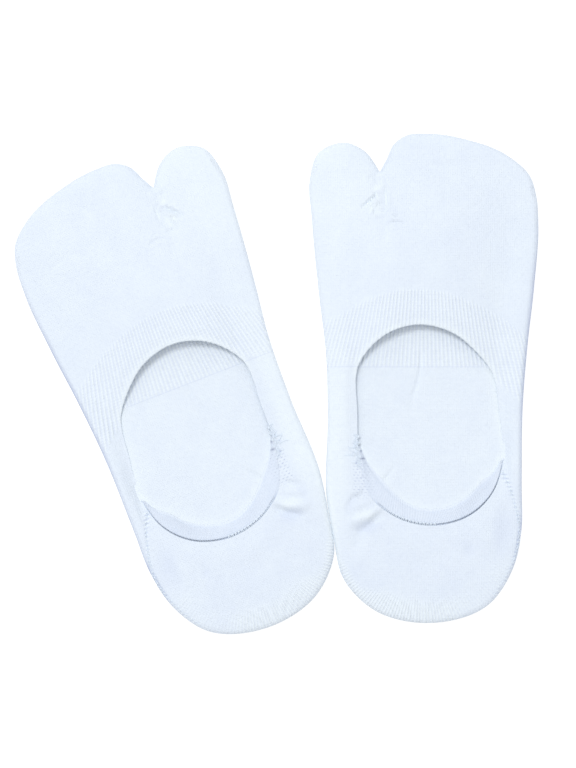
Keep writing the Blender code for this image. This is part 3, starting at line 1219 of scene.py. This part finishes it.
        below = coons(
            rim(self.inner_heel, self.outer_heel, self.sole_columns),
            rim(self.inner_toe, STATIONS + self.outer_toe, self.sole_columns),
            rim(self.inner_heel, self.inner_toe, self.sole_rows),
            rim(self.outer_heel, self.outer_toe, self.sole_rows),
        )
        below[..., 2] = 0.0
        above = below + (0.0, 0.0, CLOTH.wall)
        u, v = below[1:-1, 1:-1, 0], below[1:-1, 1:-1, 1]
        above[1:-1, 1:-1, 2] += CLOTH.sole_rib_height * rib_wave(u, v) * SOLE_BAND.at(u, v)
        above[1:-1, 1:-1, 2] -= crease_relief(SOLE_CREASES, u, v)
        return closed_slab(below, above)

    def painted(self, skin: Skin, on_top: bool) -> Skin:
        """The skin with the values that its material reads, for the upper or the sole, including
        painted shade, painted light and highlights.
        """
        u, v = skin.points[:, 0], skin.points[:, 1]
        inside = nearest(outline_at(all_round(OUTLINE_STEPS)), u, v)[0]
        away, station = self.from_mouth(u, v)
        # Painted shade along the folded edge, stronger on the outer side.
        outer = TINTS.outer_base + TINTS.outer_arch * OUTER_ARCH.at(u, v)
        outer = (outer + TINTS.outer_heel * OUTER_HEEL.at(u, v)) * OUTER_SIDE.at(u, v)
        painted_shade = (TINTS.edge + TINTS.outer_edge_shade * outer) * bell(inside, TINTS.edge_width)
        tone_and_painted_light = TINTS.big_toe * BIG_TOE.at(u, v) + TINTS.heel * HEEL.at(u, v)
        # Painted light on the inner side and where the two heels touch.
        inner = TINTS.inner_side_painted_light * INNER_SIDE.at(u, v)
        tone_and_painted_light += inner * (1.0 - TINTS.inner_front_loss * INNER_FRONT.at(u, v))
        tone_and_painted_light += TINTS.touching_painted_light * TOUCHING.at(u, v) * bell(inside, TINTS.touching_width)
        if on_top:
            # Painted shade in the gaps at the join.
            painted_shade += spotted(GAP_SHADE_SPOTS, u, v)
            # Painted shade in hollows and painted highlights on swellings.
            tone_and_painted_light += spotted(PAINTED_SHADE_AND_HIGHLIGHTS, u, v)
            # A painted highlight along the mouth's front.
            painted_highlight = bell(away, TINTS.mouth_front_width) * MOUTH_FRONT.at(u, v)
            tone_and_painted_light += TINTS.mouth_front_highlight * painted_highlight
        else:
            # Painted highlights beside the welt's free border and inside the outer lip.
            border = nearest(border_line(np.linspace(0.0, 1.0, 200)), u, v)[0]
            tone_and_painted_light += TINTS.sole + TINTS.border * bell(border, TINTS.highlight_width)
            painted_highlight = bell(away, TINTS.highlight_width) * fades(OUTER_LIP_STATIONS, station)
            tone_and_painted_light += TINTS.outer_lip_highlight * painted_highlight
        skin.paints["tone_and_painted_light"] = tone_and_painted_light
        skin.paints["painted_shade"] = np.clip(painted_shade, 0.0, 1.0)
        skin.paints["heel"] = heel_rib_mask(u, v, inside)
        skin.paints["run"] = heel_run(u, v)
        skin.paints["join"] = JOIN.at(u, v) * on_top
        skin.paints["gore"] = gore_mask(u, v) * on_top
        skin.paints["ledge"] = SOLE_LEDGE.at(u, v)
        skin.paints["band"] = band_mask(u, v) if on_top else SOLE_BAND.at(u, v)
        return skin

    def build(self) -> None:
        node = f"{self.placement.side.value}_sock"
        upper = self.painted(self.build_upper(), on_top=True)
        sole = self.painted(self.build_sole(), on_top=False)
        parts = (("upper", upper, self.upper_area), ("sole", sole, self.sole_area))
        for part, skin, area in parts:
            piece = skin.add(f"{node}_{part}", self.placement)
            piece.data.materials.append(self.looks.knit)
            declare(piece, node)


class Surface:
    """Finds the nearest point of a skin, and its normal, under a place on the sock."""

    def __init__(self, skin: Skin, lowest: float) -> None:
        """Indexes the skin's points above a height."""
        high = skin.points[:, 2] > lowest
        self.points, self.normals = skin.points[high], skin.normals()[high]
        self.tree = flat_tree(self.points)

    def at(self, u: float, v: float) -> tuple[Vector, Vector]:
        """The surface's point and normal at a place."""
        number = self.tree.find((u, v, 0.0))[1]
        return Vector((u, v, self.points[number, 2])), Vector(self.normals[number])


@dataclass
class HeelWelt:
    """The elastic band that lines the heel half of the mouth.

    Its cross section runs from the edge tucked under the mouth's lip through a groove, over
    a shoulder and across the ribbed flat to the rolled free border.
    """

    placement: Placement
    looks: Looks
    first: float = 31.5
    last: float = 50.9
    columns: int = 420
    rest: float = 1.16
    rib_pitch: float = 1.15
    rib_height: float = 0.03
    full_width: float = 6.0
    smallest: float = 0.12
    slimming: float = 0.6
    tuck: float = 1.6
    tuck_height: float = 0.15
    groove: float = 0.8
    groove_height: float = 2.1
    groove_middle: tuple = (0.25, 0.5)
    groove_rise: float = 0.35
    groove_spread: float = 0.3
    groove_end: tuple = (0.64, 0.80)
    groove_fill: float = 0.95
    shoulder: float = 1.5
    shoulder_share: float = 0.45
    shoulder_height: float = 3.0
    border_height: float = 2.3
    border_loss: float = 0.4
    sag: float = 0.12
    slack: float = 0.12
    flush: float = 0.62
    bold: float = 0.8
    bold_loss: float = 0.5
    shoulder_steps: tuple = ((0.0, 0.0, 0.0), (0.35, 0.55, 0.3), (0.7, 0.9, 0.7))
    flat_steps: tuple = (0.0, 0.1, 0.22, 0.36, 0.5, 0.62, 0.71)
    roll_steps: tuple = ((0.80, 0.66), (0.88, 0.42), (0.95, 0.18), (1.0, 0.04))
    flat: tuple = (0.0125, 0.092)
    area: float = 0.00082

    def build(self) -> None:
        share = np.linspace(0.0, 1.0, self.columns + 1)
        free = border_line(share)
        stations = self.first + share * (self.last - self.first)
        lip = mouth_at(stations)
        under = lip[:, 2] - lip_wall_at(stations) - self.slack
        lip[:, 2] = 0.0
        width = np.linalg.norm(free - lip, axis=1)
        into = (free - lip) / np.maximum(width, 1e-6)[:, None]
        wave = 0.5 + 0.5 * np.cos(TURN * walked((free + lip) / 2) / self.rib_pitch)
        small = np.clip(width / self.full_width, self.smallest, 1.0)
        shallow = smooth(*self.groove_end, share)
        top, laid = [], []
        for across, height, ribbed in self.lanes(share, small, width, shallow, under):
            line = lip + into * across[:, None]
            line[:, 2] = height + self.rib_height * wave * ribbed * small
            top.append(line)
            laid.append(across / np.maximum(width, 1e-6))
        bottom = np.array(top) * (1.0, 1.0, 0.0) + (0.0, 0.0, self.rest)
        skin = closed_slab(np.array(top), bottom)
        u, v = skin.points[:, 0], skin.points[:, 1]
        ribs = 0.5 + (wave - 0.5) * (self.bold - self.bold_loss * shallow)
        skin.paints["rib"] = np.tile(ribs, 2 * len(top))
        skin.paints["lane"] = np.tile(np.array(laid).ravel(), 2)
        # Painted shade in the gaps at the inner join.
        skin.paints["painted_shade"] = np.clip(spotted(GAP_SHADE_SPOTS, u, v), 0.0, 1.0)
        skin.paints["join"] = JOIN.at(u, v)
        side = self.placement.side.value
        piece = skin.add(f"{side}_welt_band", self.placement)
        half = len(u) // 2
        border = np.arange(half - len(share), half)
        sharpen(piece.data, np.concatenate([border, border + half]))
        piece.data.materials.append(self.looks.welt)
        declare(piece, f"{side}_heel_welt")

    def lanes(
        self, share: np.ndarray, small: np.ndarray, width: np.ndarray, shallow: np.ndarray,
        under: np.ndarray,
    ) -> list:
        """The welt's lines from under the lip to its free border.

        Args:
            share: How far along the welt each column is.
            small: How much the cross section shrinks at the ends.
            width: The welt's width at each column.
            shallow: Where the groove fades out.
            under: The height of the lip's underside.

        Returns:
            For each line its distance from the lip, its height and how ribbed it is.
        """
        inner = smooth(*self.groove_middle, share)
        slim = small ** self.slimming
        low = self.rest + (self.groove_height - self.rest) * small + self.groove_rise * inner
        high = self.rest + (self.shoulder_height - self.rest) * slim
        high = high + (under + self.flush - high) * shallow
        low = low + (high - low) * self.groove_fill * shallow
        tucked = np.clip(np.minimum(low, under), self.rest + self.tuck_height, None)
        drop = (self.border_height - self.rest) * slim * (1.0 - self.border_loss * shallow)
        border = self.rest + drop
        ridge = np.minimum(self.shoulder, self.shoulder_share * width)
        spread = 1.0 + self.groove_spread * (1.0 - inner)
        trough = ridge * self.groove / self.shoulder * spread
        lines = [(-self.tuck * small, tucked, 0.0), (-0.25 * small, tucked, 0.0)]
        lines.append((0.3 * trough, tucked + (low - tucked) * shallow, 0.0))
        for out, up, ribbed in self.shoulder_steps:
            lines.append((trough + (ridge - trough) * out, low + (high - low) * up, ribbed))
        flat = width - ridge
        for out in self.flat_steps:
            sag = (high - border) * out + self.sag * np.sin(np.pi * out) * small
            lines.append((ridge + flat * out, high - sag, 1.0))
        for out, part in self.roll_steps:
            lines.append((ridge + flat * out, self.rest + drop * part, 0.6))
        return lines


@dataclass
class Stitches:
    """Copies of one modelled loop of thread, joined into one piece."""

    placement: Placement
    looks: Looks
    length: float
    width: float
    thread: float
    bent: float = 0.36

    def loop(self) -> bpy.types.Object:
        """One loop of thread, its ends bent down, modelled from a torus."""
        bpy.ops.object.select_all(action="DESELECT")
        bpy.ops.mesh.primitive_torus_add(
            major_radius=self.width / 2 * MM, minor_radius=self.thread / 2 * MM,
            major_segments=14, minor_segments=6,
        )
        loop = bpy.context.active_object
        bpy.ops.object.mode_set(mode="EDIT")
        bpy.ops.mesh.select_all(action="SELECT")
        bpy.ops.transform.resize(value=(self.length / self.width, 1.0, 1.0))
        bpy.ops.object.mode_set(mode="OBJECT")
        for parts in (loop.data.vertices, loop.data.edges, loop.data.polygons):
            parts.foreach_set("select", np.zeros(len(parts), bool))
        for vertex in loop.data.vertices:
            vertex.select = abs(vertex.co.x) > self.bent * self.length * MM
        bpy.ops.object.mode_set(mode="EDIT")
        bpy.ops.transform.translate(value=(0.0, 0.0, -0.5 * self.thread * MM))
        bpy.ops.object.mode_set(mode="OBJECT")
        loop.data.shade_smooth()
        return loop

    def sewn(self, part: str, spots: list[Matrix]) -> None:
        """Copies the loop to every spot, as one piece.

        Args:
            part: The piece's name without its side.
            spots: Where each copy goes, in the sock's millimetres.
        """
        master = self.loop()
        to_mm = Matrix.Diagonal((1 / MM, 1 / MM, 1 / MM, 1.0))
        from_mm = Matrix.Diagonal((MM, MM, MM, 1.0))
        copies = []
        for spot in spots:
            mesh = master.data.copy()
            mesh.transform(self.placement.matrix @ from_mm @ spot @ to_mm)
            if self.placement.mirrored:
                mesh.flip_normals()
            copy = bpy.data.objects.new(part, mesh)
            bpy.context.scene.collection.objects.link(copy)
            copies.append(copy)
        bpy.data.objects.remove(master, do_unlink=True)
        joined(f"{self.placement.side.value}_{part}", copies, self.looks.thread)


def joined(name: str, copies: list[bpy.types.Object], material: bpy.types.Material) -> None:
    """Makes several meshes one piece with one material."""
    bpy.ops.object.select_all(action="DESELECT")
    for copy in copies:
        copy.select_set(True)
    bpy.context.view_layer.objects.active = copies[0]
    bpy.ops.object.join()
    whole = bpy.context.active_object
    whole.name = name
    whole.data.materials.clear()
    whole.data.materials.append(material)
    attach(whole, "root")
    log.info("%s: %d faces", name, len(whole.data.polygons))


def facing(point: Vector, normal: Vector, heading: Vector) -> Matrix:
    """A matrix that puts x along a heading on a surface, and z along its normal."""
    z = normal.normalized()
    x = (heading - z * heading.dot(z)).normalized()
    turn = Matrix((x, z.cross(x), z)).transposed().to_4x4()
    return Matrix.Translation(point) @ turn


@dataclass
class Linking:
    """The loops that link the heel's edge to the welt, seen across the groove."""

    placement: Placement
    looks: Looks
    first: float = 40.0
    last: float = 47.6
    start: float = 0.4
    pitch: float = 1.6
    drop: float = 0.80
    inset: float = 0.70
    loop: tuple = (1.6, 0.70, 0.42)

    def build(self) -> None:
        """Sews the loops."""
        fine = np.linspace(self.first, self.last, 400)
        run = walked(mouth_at(fine)[:, :2])
        into = turned_in(mouth_at(all_round(MOUTH_STEPS))[:, :2])
        spots = []
        for way in np.arange(self.start, run[-1], self.pitch):
            station = float(np.interp(way, run, fine))
            u, v, height = mouth_at(np.array([station]))[0]
            heading = Vector((*into[int(station * MOUTH_STEPS) % len(into)], 0.0))
            middle = Vector((u, v, height - self.drop)) + heading * self.inset
            spots.append(facing(middle, Vector((0.0, 0.0, 1.0)), heading))
        Stitches(self.placement, self.looks, *self.loop).sewn("linking_loops", spots)


@dataclass
class GoreLine:
    """The chain of stitches where the heel pocket was turned, on the outer side."""

    placement: Placement
    looks: Looks
    surface: Surface
    pitch: float = 1.35
    ahead: float = 0.5
    leans: tuple = (-0.45, 0.75)
    lift: float = 0.06
    loop: tuple = (1.5, 0.72, 0.30)

    def build(self) -> None:
        """Sews the chain over the heel's outer side and on along its edge."""
        line, run = gore_line()

        def place(way: float) -> Vector:
            """The place on the line after a way run."""
            return Vector((np.interp(way, run, line[:, 0]), np.interp(way, run, line[:, 1]), 0.0))

        spots = []
        for number, way in enumerate(np.arange(0.0, run[-1], self.pitch)):
            spot = place(way)
            lean = Matrix.Rotation(self.leans[number % 2], 3, "Z")
            point, normal = self.surface.at(spot.x, spot.y)
            heading = lean @ (place(way + self.ahead) - spot)
            spots.append(facing(point + normal * self.lift, normal, heading))
        Stitches(self.placement, self.looks, *self.loop).sewn("gore_stitches", spots)


class Tail(NamedTuple):
    """A loose thread end: where it starts, how it heads and turns, and its length."""

    u: float
    v: float
    heading: float
    curl: float
    length: float


@dataclass
class InnerJoin:
    """The overlocked join of the welt's cut end to the upper, with its thread ends."""

    placement: Placement
    looks: Looks
    surface: Surface
    first: float = 49.4
    last: float = 51.6
    pitch: float = 0.22
    leans: tuple = (-24.0, 30.0)
    inset: float = 0.6
    lift: float = 0.12
    loop: tuple = (3.0, 0.7, 0.26)
    thread: float = 0.20
    rise: float = 0.25
    steps: int = 9
    tails: tuple[Tail, ...] = (
        Tail(-29.6, 75.5, 100.0, 60.0, 3.4),
        Tail(-30.6, 73.6, 165.0, -50.0, 4.2),
        Tail(-29.0, 77.0, 70.0, 60.0, 2.6),
        Tail(-30.8, 72.2, 150.0, 50.0, 4.6),
        Tail(-28.6, 72.6, 20.0, -60.0, 1.8),
        Tail(-30.4, 75.4, 140.0, 70.0, 3.0),
        Tail(-29.6, 70.0, 225.0, -60.0, 2.6),
    )

    def build(self) -> None:
        """Sews the overlock over the edge and lays the thread ends."""
        spots = []
        for number, station in enumerate(np.arange(self.first, self.last, self.pitch)):
            u, v, _ = mouth_at(np.array([station]))[0]
            lean = Matrix.Rotation(math.radians(self.leans[number % 2]), 3, "Z")
            point, normal = self.surface.at(u - self.inset, v)
            heading = lean @ Vector((1.0, 0.1, 0.0))
            spots.append(facing(point + normal * self.lift, normal, heading))
        Stitches(self.placement, self.looks, *self.loop).sewn("overlock", spots)
        ends = [self.tail(tail) for tail in self.tails]
        joined(f"{self.placement.side.value}_thread_ends", ends, self.looks.thread)

    def tail(self, tail: Tail) -> bpy.types.Object:
        """One thread end, drawn out of a circle step by step."""
        bpy.ops.object.select_all(action="DESELECT")
        bpy.ops.mesh.primitive_circle_add(
            vertices=6, radius=self.thread / 2 * MM, fill_type="NGON"
        )
        end = bpy.context.active_object
        heading = math.radians(tail.heading)
        end.data.transform(Matrix.Rotation(math.pi / 2, 4, "Y"))
        end.data.transform(Matrix.Rotation(heading, 4, "Z"))
        bpy.ops.object.mode_set(mode="EDIT")
        bpy.ops.mesh.select_all(action="SELECT")
        place = Vector((tail.u, tail.v, 0.0))
        walk = Vector((0.0, 0.0, 0.0))
        lift = self.surface.at(tail.u, tail.v)[0].z
        for step in range(self.steps):
            heading += math.radians(tail.curl) / self.steps
            move = Vector((math.cos(heading), math.sin(heading), 0.0)) * (tail.length / self.steps)
            ahead = place + walk + move
            ground = self.surface.at(ahead.x, ahead.y)[0].z - lift
            rise = self.rise * math.sin(math.pi * (step + 1) / self.steps)
            move.z = ground + rise - walk.z
            bpy.ops.mesh.extrude_region_move(TRANSFORM_OT_translate={"value": move * MM})
            walk += move
        bpy.ops.mesh.select_all(action="SELECT")
        bpy.ops.mesh.normals_make_consistent(inside=False)
        bpy.ops.object.mode_set(mode="OBJECT")
        end.data.shade_smooth()
        start = Vector((tail.u, tail.v, lift + self.thread * 0.6)) * MM
        end.data.transform(self.placement.matrix @ Matrix.Translation(start))
        if self.placement.mirrored:
            end.data.flip_normals()
        return end


@dataclass
class Studio:
    """The plain floor, the soft lights and the camera above."""

    floor_size: float = 6.0
    floor_drop: float = 0.0003
    floor_glow: float = 0.72
    room_light: float = 0.724
    picture_height: float = 0.3302
    lens: float = 85.0
    sensor: float = 36.0
    aside: float = 0.0047
    nearer: float = 0.0001
    fold_height: float = 0.002

    def build(self) -> None:
        """Sets the stage."""
        scene = bpy.context.scene
        scene.view_settings.view_transform = "Standard"
        bpy.ops.object.select_all(action="DESELECT")
        place = (0.0, 0.0, -self.floor_drop)
        bpy.ops.mesh.primitive_plane_add(size=self.floor_size, location=place)
        floor = bpy.context.active_object
        floor.name = "floor"
        finish = Finish("pale_floor")
        finish.lay(Base_Color=(0.40, 0.40, 0.40, 1.0), Roughness=0.9, Specular_IOR_Level=0.1)
        finish.lay(Emission_Color=(1.0, 1.0, 1.0, 1.0), Emission_Strength=self.floor_glow)
        floor.data.materials.append(finish.material)
        floor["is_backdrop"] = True
        self.light("toe_light", (-0.62, 0.95, 2.12), 0.7, 22.0)
        self.light("middle_light", (0.0, 0.02, 0.95), 0.25, 0.9)
        scene.world = bpy.data.worlds.new("soft_room")
        scene.world.use_nodes = True
        room = scene.world.node_tree.nodes["Background"]
        room.inputs["Color"].default_value = (0.97, 0.98, 1.0, 1.0)
        room.inputs["Strength"].default_value = self.room_light
        self.camera(scene)

    @staticmethod
    def light(name: str, place: tuple, size: float, power: float) -> None:
        """A soft square light that faces the socks."""
        data = bpy.data.lights.new(name, "AREA")
        data.size = size
        data.energy = power
        lamp = bpy.data.objects.new(name, data)
        lamp.location = place
        lamp.rotation_euler = (-Vector(place)).to_track_quat("-Z", "Y").to_euler()
        bpy.context.scene.collection.objects.link(lamp)

    def camera(self, scene: bpy.types.Scene) -> None:
        """The camera, straight above the pair."""
        low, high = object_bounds()
        data = bpy.data.cameras.new("above")
        data.lens = self.lens
        data.sensor_width = self.sensor
        data.dof.use_dof = False
        eye = bpy.data.objects.new("above", data)
        away = self.picture_height / 2 / (self.sensor / 2 / self.lens)
        eye.location = (
            (low[0] + high[0]) / 2 + self.aside,
            (low[1] + high[1]) / 2 - self.nearer,
            low[2] + self.fold_height + away,
        )
        scene.collection.objects.link(eye)
        scene.camera = eye


def main() -> None:
    """Builds every piece."""
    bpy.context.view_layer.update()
    Studio().build()
    looks = Looks()
    for side in Side:
        placement = Placement(side)
        body = SockBody(placement, looks)
        body.build()
        HeelWelt(placement, looks).build()
        Linking(placement, looks).build()
        surface = Surface(body.upper, lowest=2.0)
        GoreLine(placement, looks, surface).build()
        InnerJoin(placement, looks, surface).build()


if __name__ == "__main__":
    main()
